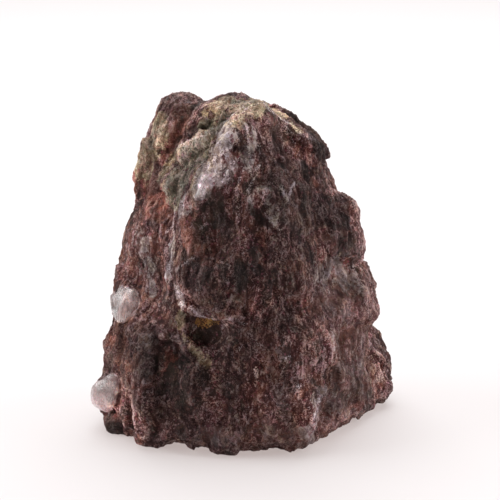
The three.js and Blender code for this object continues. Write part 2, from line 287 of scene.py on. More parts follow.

# How much paler the rock is painted, in stops of light, or darker where that is negative: partly the rock's
# own paler and darker patches, and partly painted light and shade, such as darkened hollows, facets turned
# from the lamps, and pale rims that stand in for light through thin edges.
TONE_AND_PAINTED_SHADING = {
    "block": (2.0, 0.5, [(182, 122), (174, 142)]),
    "block top": (1.8, -0.8, [(163, 104), (192, 112)]),
    "block side": (1.4, 0.2, [(160, 140), (162, 150)]),
    "block foot": (1.6, -1.1, [(158, 172), (155, 184)]),
    "head of the gully": (1.1, 1.0, [(212, 110), (202, 121)]),
    "plateau": (1.4, 0.7, [(214, 114), (232, 112)]),
    "tan ridge": (1.4, 1.0, [(204, 144), (186, 156)]),
    "green hollow": (1.2, -0.6, [(186, 180), (188, 188)]),
    "below the peak": (2.0, 0.9, [(241, 130), (262, 126)]),
    "hollow under the peak": (1.6, -0.45, [(240, 150), (238, 158)]),
    "lilac arc": (2.2, 1.3, [(228, 168), (218, 188)]),
    "chest": (1.4, 0.6, [(262, 158), (264, 168)]),
    "behind the right ridge": (1.6, -2.0, [(298, 117), (308, 126), (314, 142), (318, 150)]),
    "right brow": (1.4, -0.5, [(321, 153)]),
    "right shoulder": (2.0, 0.7, [(322, 182), (330, 192)]),
    "upper flank": (2.2, 0.9, [(160, 202), (158, 228)]),
    "left flank": (6.0, 0.25, [(140, 250), (150, 300)]),
    "flank rim": (1.8, 0.4, [(134, 196), (128, 256), (117, 280)]),
    "beside the plate": (1.6, -0.3, [(188, 258), (184, 270)]),
    "foot of the recess": (1.4, -0.4, [(224, 230)]),
    "above the chest dip": (2.4, -1.1, [(272, 208), (286, 208), (296, 216)]),
    "right of the chest": (2.4, -1.1, [(306, 212), (338, 212)]),
    "right of the chest dip": (2.0, -0.6, [(280, 244), (302, 254)]),
    "right waist": (2.0, 1.1, [(344, 264), (360, 264)]),
    "knuckle": (2.4, -1.0, [(198, 274), (204, 296)]),
    "beside the pit": (1.6, -0.5, [(236, 282), (234, 292)]),
    "below the pit": (1.6, 0.9, [(260, 298), (262, 306)]),
    "beside the cave": (1.3, -0.5, [(184, 312), (192, 316)]),
    "cave": (1.4, 1.2, [(198, 336), (208, 328)]),
    "right edge": (1.8, 1.4, [(372, 322), (380, 346)]),
    "lower right": (2.2, 1.3, [(316, 342), (322, 350)]),
    "left bulge": (1.8, 0.5, [(106, 332), (112, 338)]),
    "buttress": (2.2, -0.9, [(124, 342), (144, 342)]),
    "buttress dip": (1.8, 1.0, [(158, 350), (162, 368)]),
    "below the cave": (1.5, -1.2, [(190, 364), (196, 376)]),
    "buttress foot": (2.4, -0.6, [(164, 398), (186, 402)]),
    "beside the lower crystal": (1.8, 1.3, [(121, 390), (126, 402), (133, 418), (136, 432)]),
    "right of the cave": (1.8, -0.8, [(232, 340), (246, 350)]),
    "front": (1.8, 0.5, [(258, 366), (260, 376)]),
    "front foot": (2.0, 1.0, [(256, 396), (260, 410)]),
    "beside the pale edge": (1.9, 1.5, [(300, 398), (303, 414)]),
    "inner front": (1.8, 1.0, [(290, 348), (296, 358), (312, 376)]),
    "right rim": (1.6, 0.9, [(326, 430), (340, 423), (356, 411)]),
    "left foot": (1.6, -0.8, [(152, 444), (164, 444)]),
    "foot": (1.6, -0.6, [(188, 448), (226, 450)]),
    "right foot": (1.4, -0.8, [(262, 448), (280, 449), (300, 448)]),
    "below the chest": (1.8, -0.8, [(278, 172), (308, 178)]),
    "behind the right waist": (1.6, 0.8, [(326, 228), (326, 248)]),
    "plate": (1.8, 0.9, [(196, 212), (204, 232), (204, 246)]),
    "gully": (1.4, 0.5, [(168, 146), (160, 154)]),
    "lower flank": (2.0, 0.8, [(154, 212), (156, 240)]),
    "beside the knuckle": (2.4, -0.45, [(232, 274), (234, 300)]),
    "right foot dip": (1.8, -0.8, [(350, 396), (360, 390)]),
    "block corner": (1.6, 0.8, [(135, 176), (138, 188), (139, 202)]),
    "flank foot": (1.8, 1.2, [(172, 284), (184, 296)]),
    "beside the fork": (1.3, 1.0, [(262, 197), (263, 205)]),
    "flank dip": (1.6, -0.5, [(150, 268)]),
    "under the front": (1.8, -0.4, [(236, 370), (236, 388)]),
    "right ridge": (1.4, 1.2, [(284, 132), (300, 146), (314, 154)]),
    "peak": (1.4, 1.4, [(266, 104), (276, 114)]),
    "right brim": (1.8, 0.9, [(354, 212), (356, 222), (360, 240)]),
    "lower crystal": (1.2, -0.3, [(108, 380), (113, 386)]),
    "right cheek": (1.6, 0.7, [(343, 334), (345, 348)]),
    "above the foot": (1.6, 0.6, [(212, 396), (214, 412)]),
    "nub": (1.3, -1.0, [(108, 430), (118, 430)]),
    "lower crystal foot": (1.4, 0.9, [(98, 400), (106, 404)]),
    "upper crystal": (1.1, 1.2, [(130, 303), (128, 312)]),
    "flank edge": (1.2, -0.6, [(148, 190), (144, 212)]),
    "middle foot": (1.8, -0.5, [(276, 372), (280, 388)]),
    "pale edge": (1.8, 1.0, [(300, 404), (314, 424)]),
    "gully head": (1.0, -1.2, [(184, 140), (178, 148)]),
    "beside the right waist": (1.6, -0.5, [(344, 240)]),
    "right flank": (1.6, 0.4, [(367, 296), (368, 308)]),
    "middle": (2.0, -0.7, [(276, 318), (266, 340), (228, 350)]),
    "below the buttress": (1.6, -0.6, [(140, 408)]),
    "upper crystal top": (1.0, -0.7, [(118, 288)]),
    "buttress side": (1.8, -1.3, [(147, 344), (148, 366)]),
    "over the fork": (1.4, -0.6, [(262, 188)]),
    "upper crystal dip": (0.5, -0.9, [(119, 296), (118, 304), (118, 312)]),
    "cave rim": (1.0, 0.4, [(182, 328), (198, 346), (208, 354)]),
    "above the nub": (1.2, 2.0, [(108, 411), (119, 409)]),
    "beside the nub": (1.4, 1.6, [(128, 418), (131, 430)]),
    "lower edge": (1.6, 1.4, [(386, 364), (385, 380), (378, 397)]),
    "front of the hollow": (1.0, -1.0, [(225, 123)]),
    "right middle": (1.6, 0.8, [(336, 298), (360, 312)]),
    "block middle": (1.3, 1.4, [(162, 148), (164, 160)]),
    "white patch": (1.4, -0.7, [(198, 172), (204, 186)]),
    "hollow": (1.0, 1.0, [(207, 122)]),
    "upper crystal left": (1.0, -0.3, [(119, 294), (114, 304)]),
    "right of the middle": (1.2, 0.9, [(304, 310)]),
    "upper right edge": (1.5, 0.7, [(372, 296), (374, 310)]),
    "pit": (0.8, -0.9, [(241, 268), (242, 282)]),
    "below the chest dip": (1.4, 0.6, [(264, 236), (250, 228)]),
}

# Where the rock's rim is clear of the ground, or rests on it where that is negative.
GAPS = {
    "beside the nub": (1.1, 1, [(129, 433)]),
    "left notch": (1.9, 1.3, [(176, 447)]),
    "small notch": (0.9, 1, [(201, 449)]),
    "right": (1.0, 0.5, [(330, 430), (352, 416)]),
    "right corner": (2.4, -1, [(372, 408), (384, 398)]),
}

# Where the rock is broken into round nodules.
NODULES = {
    "lower right": (5, 1, [(340, 300), (352, 340), (362, 380), (330, 410)]),
    "right shoulder": (3, 0.6, [(318, 230), (344, 250)]),
    "foot": (3, 0.8, [(200, 430), (240, 440), (290, 440)]),
}

# Where each crystal shows, past its own solid.
CRYSTAL_STROKES = {
    "lower_left_crystal": {
        "body": (1.0, 1, [(100, 391), (97, 399), (104, 403)]),
        "tip": (0.9, 0.9, [(106, 386), (111, 381)]),
        "side": (0.7, 0.9, [(112, 388), (109, 399)]),
        "foot": (0.6, 1, [(102, 408), (105, 411)]),
    },
    "upper_left_crystal": {
        "body": (1.0, 1, [(124, 310), (131, 304), (130, 297)]),
        "rim": (1.0, 1, [(118, 297), (113, 303), (113, 310)]),
        "tip": (0.6, 0.6, [(121, 290), (127, 291)]),
        "foot": (0.6, 1, [(114, 316), (125, 317)]),
    },
    "ridge_crystal": {
        "blade": (0.5, 0.5, [(207, 178), (204, 186), (200, 195)]),
    },
}

# What each set of strokes is called where it is kept on the rock's skin.
STROKES = {
    "shape": SHAPE,
    "nodules": NODULES,
    "gap": GAPS,
    "tone": TONE_AND_PAINTED_SHADING,
    "crust": CRUST,
    "moss": MOSS,
    "rust": RUST,
    "silk": SILK,
    "shade": DARK_MINERAL_AND_SHADE,
    "thread": THREADS,
    "ochre": OCHRE,
}


# Settings.


def a_length(name, description, millimetres, least=None):
    """A length that is given in millimetres and kept in metres."""
    limits = {} if least is None else {"min": least * MM}
    return bpy.props.FloatProperty(
        name=name, description=description, default=millimetres * MM, unit="LENGTH", precision=6, **limits)


def a_count(name, description, default):
    return bpy.props.IntProperty(name=name, description=description, default=default, min=0)


def a_power(name, description, default):
    return bpy.props.FloatProperty(name=name, description=description, default=default, unit="POWER")


def a_colour(name, description, default):
    return bpy.props.FloatVectorProperty(
        name=name, description=description, default=default, size=3, subtype="COLOR", min=0, max=1)


class RockSettings(bpy.types.PropertyGroup):
    """Sizes of the rock's skin and of its weathering."""

    skin: a_length("Skin faces", "Width of the faces of the rock's skin", 0.185, least=0.1)
    smoothing: a_count("Smoothing", "Rounds that melt the broken facets before the weathering", 10)
    ribs: a_length("Ribs", "Height of the long ribs that run down the rock", 0.2)
    folds: a_length("Folds", "Height of the broad swellings", 0.25)
    shards: a_length("Shards", "Height of the flat broken faces", 0.25)
    nodules: a_length("Nodules", "Height of the round nodules", 0.6)
    fibres: a_length("Fibres", "Height of the bundles of fibres", 0.3)
    splinters: a_length("Splinters", "Height of the splinters that the fibres have split into", 0.15)
    grains: a_length("Grains", "Height of the small grains", 0.08)
    plug: a_length("Plug", "How far the rock grows into the hollow round each crystal", 0.45)
    plug_depth: a_length("Plug depth", "Thickness of the clear crystal over the rock", 0.1)
    undercut: a_length("Undercut", "How high the gaps under the rock's rim reach", 0.9)


class CrystalSettings(bpy.types.PropertyGroup):
    """Sizes of the glassy crystals."""

    thickness: a_length("Thickness", "Thickness of the clear crystal in its middle", 0.55)
    melting: a_count("Melting", "Rounds that melt the rock's fibres out of a crystal's face", 25)
    faces: a_length("Faces", "Width of the faces of a crystal's skin", 0.07, least=0.03)
    rounding: a_count("Rounding", "Rounds that wear the edges of a crystal's flat faces", 6)
    ripples: a_length("Ripples", "Height of the ripples on a crystal", 0.08)
    ripple_width: a_length("Ripple width", "Width of the ripples on a crystal", 0.9)


class ColourSettings(bpy.types.PropertyGroup):
    """Colours of the minerals.  A mineral of three colours goes from its darkest to its palest grains."""

    rock_dark: a_colour("Rock, dark", "Near black of the deepest grains", (0.025, 0.0085, 0.0075))
    rock: a_colour("Rock", "Purple-brown of the fibrous rock", (0.083, 0.036, 0.0325))
    rock_pale: a_colour("Rock, pale", "Pink-grey of the fibres that catch the light", (0.362, 0.264, 0.246))
    rust_dark: a_colour("Rust, dark", "Dark red-brown of the rusty patches", (0.08, 0.028, 0.02))
    rust: a_colour("Rust", "Red-brown of the rusty patches", (0.182, 0.074, 0.055))
    rust_pale: a_colour("Rust, pale", "Dusty pink of the rusty patches", (0.33, 0.2, 0.165))
    crust_dark: a_colour("Crust, dark", "Brown between the grains of the dry crust", (0.12, 0.08, 0.05))
    crust: a_colour("Crust", "Tan of the dry crust", (0.255, 0.19, 0.125))
    crust_pale: a_colour("Crust, pale", "Cream of the dry crust", (0.54, 0.46, 0.34))
    moss_dark: a_colour("Green crust, dark", "Green-black in the green crust", (0.055, 0.05, 0.035))
    moss: a_colour("Green crust", "Olive-grey of the green crust", (0.17, 0.14, 0.105))
    moss_pale: a_colour("Green crust, pale", "Pale green-grey of the green crust", (0.36, 0.32, 0.26))
    silk_dark: a_colour("Silk, dark", "Plum between the silky fibres", (0.13, 0.085, 0.08))
    silk: a_colour("Silk", "Lilac-grey of the silky patches", (0.265, 0.21, 0.208))
    silk_pale: a_colour("Silk, pale", "Silver of the silky fibres", (0.52, 0.46, 0.47))
    # Green-black of the dark mineral, which also paints shade into hollows and onto facets turned from the
    # lamps.
    shade: a_colour("Dark mineral", "Green-black of the dark mineral", (0.021, 0.018, 0.015))
    nodule: a_colour("Nodule", "Dusty pink of the glassy nodules", (0.23, 0.135, 0.12))
    crimson: a_colour("Crimson", "Crimson of a few stray grains", (0.21, 0.06, 0.085))
    ochre: a_colour("Ochre", "Yellow-brown in the small cave", (0.23, 0.13, 0.04))
    crystal_dark: a_colour("Crystal, dark", "Smoky streaks in the crystals", (0.6, 0.5, 0.48))
    crystal: a_colour("Crystal", "Milky lilac-white of the crystals", (1.0, 0.955, 0.945))


class StageSettings(bpy.types.PropertyGroup):
    """The camera, the lights and the floor."""

    lens: bpy.props.FloatProperty(
        name="Lens", description="Focal length of the camera", default=120, subtype="DISTANCE_CAMERA")
    elevation: bpy.props.FloatProperty(
        name="Elevation", description="How far above level the camera looks from",
        default=math.radians(18), subtype="ANGLE")
    distance: a_length("Distance", "From the camera to the point that it looks at", 154.2)
    aim: bpy.props.FloatVectorProperty(
        name="Aim", description="The point that the camera looks at",
        default=(0.38 * MM, 0.13 * MM, 16.5 * MM), size=3, subtype="XYZ", unit="LENGTH", precision=5)
    key: a_power("Key light", "Power of the light above and behind", 1.8)
    left: a_power("Left light", "Power of the light on the left", 0.75)
    right: a_power("Right light", "Power of the light on the right", 0.5)
    fill: bpy.props.FloatProperty(
        name="Fill", description="Strength of the light from all round", default=0.07)
    floor: a_colour("Floor", "Pale grey of the floor", (0.34, 0.35, 0.36))
    glow: a_colour("Floor glow", "Light that the floor gives off", (0.46, 0.395, 0.38))


def settings(name):
    return getattr(bpy.context.scene, name)


# Work on pieces.


def select_only(piece):
    """Makes a piece the one selected and active object."""
    bpy.ops.object.select_all(action="DESELECT")
    piece.select_set(True)
    bpy.context.view_layer.objects.active = piece


def copy_of(source, name):
    """A copy of an object, with a mesh of its own and no material, as the one selected object."""
    copy = bpy.data.objects.new(name, source.data.copy())
    copy.data.name = name
    copy.data.materials.clear()
    bpy.context.scene.collection.objects.link(copy)
    select_only(copy)
    return copy


def copy_of_node(node, name):
    """A copy of a solid of the frame, with its loose triangles merged."""
    copy = copy_of(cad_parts[node], name)
    bpy.ops.object.mode_set(mode="EDIT")
    bpy.ops.mesh.select_all(action="SELECT")
    bpy.ops.mesh.remove_doubles(threshold=MERGED)
    bpy.ops.mesh.normals_make_consistent(inside=False)
    bpy.ops.mesh.customdata_custom_splitnormals_clear()
    bpy.ops.object.mode_set(mode="OBJECT")
    bpy.ops.object.shade_smooth()
    return copy


def plug_under(node, growth, depth):
    """A copy of a crystal's solid, grown all round, and then sunk towards the middle of the rock."""
    piece = copy_of_node(node, "plug")
    low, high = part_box(node)
    middle = (low + high) / 2
    inwards = -Vector((middle.x, middle.y, 0)).normalized()
    bpy.ops.object.mode_set(mode="EDIT")
    bpy.ops.mesh.select_all(action="SELECT")
    bpy.ops.transform.resize(
        value=[1 + 2 * growth / size for size in high - low], center_override=middle)
    bpy.ops.transform.translate(value=inwards * depth)
    bpy.ops.object.mode_set(mode="OBJECT")
    return piece


def apply_modifier(piece, kind, **values):
    """Adds one modifier to the active piece, sets it and applies it."""
    modifier = piece.modifiers.new(kind.title(), kind)
    for key, value in values.items():
        setattr(modifier, key, value)
    bpy.ops.object.modifier_apply(modifier=modifier.name)


def turn_towards(thing, way):
    """Turns a lamp or a camera to look along a way."""
    thing.rotation_mode = "QUATERNION"
    thing.rotation_quaternion = way.to_track_quat("-Z", "Y")


# Wiring of nodes.


def in_use(sockets, name=None):
    """The sockets that a node uses as it is set, or those of one name."""
    return [socket for socket in sockets if socket.enabled and name in (None, socket.name)]


def new_group(name, kind, inputs, outputs):
    """A group of nodes, with named sockets of some types."""
    tree = bpy.data.node_groups.new(name, kind)
    for way, sockets in (("INPUT", inputs), ("OUTPUT", outputs)):
        for socket, carries in sockets.items():
            tree.interface.new_socket(socket, in_out=way, socket_type="NodeSocket" + carries)
    return tree


class Wiring:
    """Adds nodes to a tree and joins them.  An input is a socket to join or a plain value."""

    def __init__(self, tree):
        self.tree = tree

    def node(self, kind, *inputs, named=None, **values):
        """A new node, with its inputs given in their order or by their names."""
        node = self.tree.nodes.new(kind)
        for key, value in values.items():
            setattr(node, key, value)
        for socket, value in zip(in_use(node.inputs), inputs):
            self.feed(value, socket)
        for name, value in (named or {}).items():
            self.feed(value, node.inputs[name])
        return node

    def feed(self, value, socket):
        if isinstance(value, bpy.types.NodeSocket):
            self.tree.links.new(value, socket)
        elif socket.type == "RGBA":
            socket.default_value = (*value, 1.0)
        else:
            socket.default_value = value

    def math(self, operation, *inputs, clamp=False):
        return self.node("ShaderNodeMath", *inputs, operation=operation, use_clamp=clamp).outputs[0]

    def times(self, value, factor):
        return self.math("MULTIPLY", value, factor)

    def chain(self, operation, values):
        """One value out of several, which are taken together two at a time."""
        total = values[0]
        for value in values[1:]:
            total = self.math(operation, total, value)
        return total

    def sum(self, *parts):
        """The sum of some parts, each of them a value, or a value and a factor to multiply it by."""
        return self.chain("ADD", [self.times(*part) if isinstance(part, tuple) else part for part in parts])

    def largest(self, *values):
        return self.chain("MAXIMUM", values)

    def vector(self, operation, *inputs):
        return in_use(self.node("ShaderNodeVectorMath", *inputs, operation=operation).outputs)[0]

    def scaled(self, vector, factor):
        return self.vector("SCALE", vector, factor)

    def centred(self, colour):
        """A colour as a vector that swings about 0."""
        return self.vector("SUBTRACT", colour, (0.5, 0.5, 0.5))

    def split(self, vector):
        return self.node("ShaderNodeSeparateXYZ", vector).outputs

    def joined(self, x, y, z):
        return self.node("ShaderNodeCombineXYZ", x, y, z).outputs[0]

    def tall(self, coordinates, across, along):
        """Coordinates for a pattern that is stretched along the fibres: its sizes are in millimetres."""
        return self.vector("MULTIPLY", coordinates, (1 / across, 1 / across, 1 / along))

    def noises(self, coordinates, scale, detail=2.0, roughness=0.5):
        """The outputs of a noise: one value, and three more as a colour."""
        inputs = {"Vector": coordinates, "Scale": scale, "Detail": detail, "Roughness": roughness}
        return self.node("ShaderNodeTexNoise", named=inputs).outputs

    def noise(self, *where):
        """Noise from 0 to 1."""
        return self.noises(*where)[0]

    def swing(self, *where):
        """Noise that swings about 0, mostly between -1 and 1."""
        return self.math("MULTIPLY_ADD", self.noise(*where), 4.0, -2.0)

    def wavering(self, coordinates, reach, *where):
        """Coordinates that noise pushes about."""
        return self.vector("ADD", coordinates, self.scaled(self.centred(self.noises(*where)["Color"]), reach))

    def cells(self, coordinates, scale=1.0, smoothness=None):
        """Cells round scattered points, whose edges melt together where a smoothness is given."""
        inputs = {"Vector": coordinates, "Scale": scale}
        feature = "F1"
        if smoothness is not None:
            inputs["Smoothness"] = smoothness
            feature = "SMOOTH_F1"
        return self.node("ShaderNodeTexVoronoi", named=inputs, feature=feature).outputs

    def ramp(self, value, low, high, to_low=0.0, to_high=1.0):
        """A smooth step of a value from one level to another."""
        inputs = {"Value": value, "From Min": low, "From Max": high, "To Min": to_low, "To Max": to_high}
        return self.node("ShaderNodeMapRange", named=inputs, interpolation_type="SMOOTHSTEP").outputs[0]

    def blend(self, factor, first, second, kind="MIX"):
        """One colour mixed into another."""
        node = self.node("ShaderNodeMix", factor, first, second, data_type="RGBA", blend_type=kind)
        return in_use(node.outputs)[0]

    def palette(self, value, places, colours):
        """A colour picked by a value, from colours at some places between 0 and 1."""
        node = self.node("ShaderNodeValToRGB", value)
        elements = node.color_ramp.elements
        while len(elements) < len(places):
            elements.new(0.5)
        for element, place, colour in zip(elements, places, colours):
            element.position = place
            element.color = (*colour, 1.0)
        return node.outputs[0]

    def place(self):
        """The place of each point in millimetres."""
        return self.scaled(self.node("ShaderNodeTexCoord").outputs["Object"], 1 / MM)

    def bump(self, shader, height, strength, depth):
        """Bumps on a shader's surface, with their depth in millimetres."""
        inputs = {"Height": height, "Strength": strength, "Distance": depth * MM}
        self.feed(self.node("ShaderNodeBump", named=inputs).outputs["Normal"], shader.inputs["Normal"])


# Strokes drawn on the rock.


class Surface:
    """The rock's skin, to draw on."""

    def __init__(self, piece):
        self.piece = piece
        vertices = piece.data.vertices
        self.tree = BVHTree.FromObject(piece, bpy.context.evaluated_depsgraph_get())
        self.near = KDTree(len(vertices))
        for vertex in vertices:
            self.near.insert(vertex.co, vertex.index)
        self.near.balance()

    def touch(self, across, down):
        """The point of the rock that shows at a place in the camera's view, or None."""
        stage = settings("specimen_stage")
        forward, up = camera_axes(stage.elevation)
        unit = SENSOR / VIEW_SPAN
        right = (across - VIEW_SPAN / 2) * unit
        rise = (VIEW_SPAN / 2 - down) * unit
        way = forward * stage.lens + Vector((right, 0, 0)) + up * rise
        return self.tree.ray_cast(Vector(stage.aim) - forward * stage.distance, way)[0]

    def draw(self, strokes):
        """The strength of some strokes at each vertex of the rock, that of the strongest where they meet."""
        stage = settings("specimen_stage")
        unit = stage.distance / stage.lens * SENSOR / VIEW_SPAN / MM
        strengths = [0.0] * len(self.piece.data.vertices)
        for radius, strength, points in strokes.values():
            for across, down in spaced(points, radius / DABS_PER_RADIUS / unit):
                point = self.touch(across, down)
                if point is None:
                    continue
                for _, index, distance in self.near.find_range(point, radius * MM):
                    value = strength * (1 - (distance / (radius * MM)) ** 2)
                    if abs(value) > abs(strengths[index]):
                        strengths[index] = value
        return strengths

    def over_crystal(self, node):
        """How well each vertex of the rock is covered by a crystal, from 0 to 1."""
        shares = []
        for vertex, drawn in zip(self.piece.data.vertices, self.draw(CRYSTAL_STROKES[node])):
            ragged = RIM_WAVER * noise.noise(vertex.co * RIM_WAVERS_PER_MM / MM)
            shares.append(min(1.0, max(0.0, RIM_STEEPNESS * (drawn + ragged))) if drawn > 0 else 0.0)
        return shares

    def store(self, name, strengths):
        attribute = self.piece.data.attributes.new(name, "FLOAT", "POINT")
        attribute.data.foreach_set("value", strengths)


def camera_axes(elevation):
    """The way that the camera looks, and the way that is up in its view."""
    forward = Vector((0, math.cos(elevation), -math.sin(elevation)))
    up = Vector((0, math.sin(elevation), math.cos(elevation)))
    return forward, up


def spaced(points, step):
    """Points along a broken line, no further apart than a step."""
    line = [Vector(point) for point in points]
    found = [line[0]]
    for start, end in zip(line, line[1:]):
        pieces = max(1, math.ceil((end - start).length / step))
        found += [start.lerp(end, i / pieces) for i in range(1, pieces + 1)]
    return found


# The rock's weathering.


class Weathering(Wiring):
    """Wiring of the geometry nodes that shape the rock's skin."""

    def own(self, what):
        """A point's own Position or Normal."""
        return self.node("GeometryNodeInput" + what).outputs[0]

    def read(self, name):
        node = self.node("GeometryNodeInputNamedAttribute", data_type="FLOAT", named={"Name": name})
        return in_use(node.outputs)[0]

    def store(self, geometry, name, value, kind="FLOAT"):
        inputs = {"Geometry": geometry, "Name": name}
        node = self.node("GeometryNodeStoreNamedAttribute", data_type=kind, domain="POINT", named=inputs)
        self.feed(value, in_use(node.inputs, "Value")[0])
        return node.outputs[0]

    def set_position(self, geometry, **inputs):
        return self.node("GeometryNodeSetPosition", named={"Geometry": geometry, **inputs}).outputs[0]

    def raised(self, geometry, height):
        """Lifts the skin along its normals by a height in millimetres."""
        return self.set_position(geometry, Offset=self.scaled(self.own("Normal"), self.times(height, MM)))

    def standing_out(self, rounds):
        """How far each point stands out of the skin's average round it, in millimetres."""
        position = self.own("Position")
        blur = self.node("GeometryNodeBlurAttribute", data_type="FLOAT_VECTOR", named={"Iterations": rounds})
        self.feed(position, in_use(blur.inputs, "Value")[0])
        away = self.vector("SUBTRACT", position, in_use(blur.outputs)[0])
        return self.times(self.vector("DOT_PRODUCT", away, self.own("Normal")), 1 / MM)


def weathering_tree(rock):
    """Geometry nodes that raise ribs, shards, splinters, nodules and grains on the rock's skin.

    They also keep, for the rock's material, the flow of the fibres and how far each point stands out.
    """
    tree = new_group("Weathering", "GeometryNodeTree", {"Geometry": "Geometry"}, {"Geometry": "Geometry"})
    w = Weathering(tree)
    place = w.scaled(w.own("Position"), 1 / MM)

    # The fibres fan out downwards, because the rock does, and they waver.
    split = w.split(place)
    spread = w.math("SUBTRACT", 1.0, w.times(split["Z"], NARROWING))
    fanned = w.joined(*[w.math("DIVIDE", split[axis], spread) for axis in "XY"], split["Z"])
    flow = w.wavering(fanned, 4.0, place, 0.16, 3)

    def broken(coordinates):
        """Flat faces, each tilted its own way."""
        cells = w.cells(coordinates)
        return w.vector(
            "DOT_PRODUCT", w.vector("SUBTRACT", coordinates, cells["Position"]), w.centred(cells["Color"]))

    # First the large shapes, which are bolder behind.
    bold = w.ramp(split["Y"], -2.0, 4.0, 0.5, 1.2)
    broken_up = w.sum(
        (w.swing(w.tall(flow, 2.2, 9), 1.0, 2.0, 0.45), rock.ribs / MM),
        (w.swing(place, 0.22), rock.folds / MM),
        (broken(w.tall(flow, 3.4, 5.0)), rock.shards / MM),
    )
    lumps = w.cells(place, 0.6, smoothness=0.6)["Distance"]
    nodules = w.times(w.math("SUBTRACT", 0.5, lumps), w.read("nodules"))
    large = w.sum(w.read("shape"), (broken_up, bold), (nodules, rock.nodules / MM))

    # Then the small ones.
    bundles = w.swing(w.tall(flow, 1.0, 3.4), 1.0, 4.0, 0.6)
    small = w.sum(
        (w.math("SUBTRACT", 0.35, w.math("ABSOLUTE", bundles)), rock.fibres / MM),
        (w.math("SUBTRACT", 0.5, w.cells(w.tall(flow, 0.6, 1.5))["Distance"]), rock.splinters / MM),
        (w.swing(place, 1.3, 3.0, 0.65), rock.grains / MM),
    )

    geometry = w.store(w.node("NodeGroupInput").outputs[0], "flow", flow, "FLOAT_VECTOR")
    geometry = w.raised(geometry, large)
    geometry = w.raised(geometry, small)
    geometry = w.store(geometry, "edge", w.standing_out(EDGE_ROUNDS))
    geometry = w.store(geometry, "brow", w.standing_out(BROW_ROUNDS))

    # Last the foot: the rim is undercut here and there, and nothing reaches below the ground.
    low = w.split(w.own("Position"))
    height = w.times(low["Z"], 1 / MM)
    gaps = w.ramp(w.noise(w.vector("MULTIPLY", place, (1, 1, 0)), 0.42), 0.46, 0.62)
    gaps = w.math("ADD", w.times(gaps, w.ramp(split["Y"], -6.0, -2.0)), w.read("gap"), clamp=True)
    lift = w.times(gaps, w.ramp(height, 0.0, 1.6, rock.undercut, 0.0))
    foot = w.largest(w.sum(low["Z"], lift), 0.0)
    geometry = w.set_position(geometry, Position=w.joined(low["X"], low["Y"], foot))
    w.node("NodeGroupOutput", geometry)
    return tree


class SPECIMEN_OT_rock(bpy.types.Operator):
    """Give the rock a fine skin, draw its minerals on it and weather it"""

    bl_idname = "specimen.rock"
    bl_label = "Weather the rock"

    def execute(self, context):
        rock = settings("specimen_rock")
        plugs = [plug_under(node, rock.plug, rock.plug + rock.plug_depth) for node in CRYSTALS]
        piece = copy_of_node("rock", "rock_surface")
        for plug in plugs:
            plug.select_set(True)
        bpy.ops.object.join()
        apply_modifier(piece, "REMESH", mode="VOXEL", voxel_size=rock.skin, use_smooth_shade=True)
        apply_modifier(piece, "SMOOTH", iterations=rock.smoothing)
        surface = Surface(piece)
        for name, strokes in STROKES.items():
            surface.store(name, surface.draw(strokes))
        for node in CRYSTALS:
            surface.store(node, surface.over_crystal(node))
        apply_modifier(piece, "NODES", node_group=weathering_tree(rock))
        if "edge" not in piece.data.attributes:
            raise RuntimeError("the rock's weathering wasn't applied")
        bpy.ops.object.shade_smooth()
        piece.data.materials.append(rock_material())
        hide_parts("rock")
        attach(piece, "root")
        return {"FINISHED"}


# Materials.


def new_material(name, plain):
    """A material, its wiring and its shader, some of whose inputs are plain values."""
    material = bpy.data.materials.new(name)
    material.use_nodes = True
    shader = material.node_tree.nodes["Principled BSDF"]
    w = Wiring(material.node_tree)
    for key, value in plain.items():
        w.feed(value, shader.inputs[key])
    return material, w, shader


def fibres_group():
    """A node group that draws fibres: soft streaks that swing about 0, and thin threads from 0 to 1."""
    tree = bpy.data.node_groups.get("Fibres")
    if tree:
        return tree
    inputs = {"Coordinates": "Vector", "Across": "Float", "Along": "Float", "Detail": "Float",
              "Sharpness": "Float"}
    tree = new_group("Fibres", "ShaderNodeTree", inputs, {"Streaks": "Float", "Threads": "Float"})
    w = Wiring(tree)
    start = w.node("NodeGroupInput").outputs
    sizes = w.joined(start["Across"], start["Across"], start["Along"])
    streaks = w.swing(w.vector("DIVIDE", start["Coordinates"], sizes), 1.0, start["Detail"], 0.6)
    lines = w.largest(w.math("SUBTRACT", 1.0, w.math("ABSOLUTE", streaks)), 0.0)
    w.node("NodeGroupOutput", streaks, w.math("POWER", lines, start["Sharpness"]))
    return tree


def fibres(w, coordinates, across, along, detail=2.0, sharpness=5.0):
    """The streaks and the threads of the fibres group, for fibres of a width and a length in millimetres."""
    inputs = {"Coordinates": coordinates, "Across": across, "Along": along, "Detail": detail,
              "Sharpness": sharpness}
    node = w.node("ShaderNodeGroup", node_tree=fibres_group(), named=inputs)
    return node.outputs["Streaks"], node.outputs["Threads"]


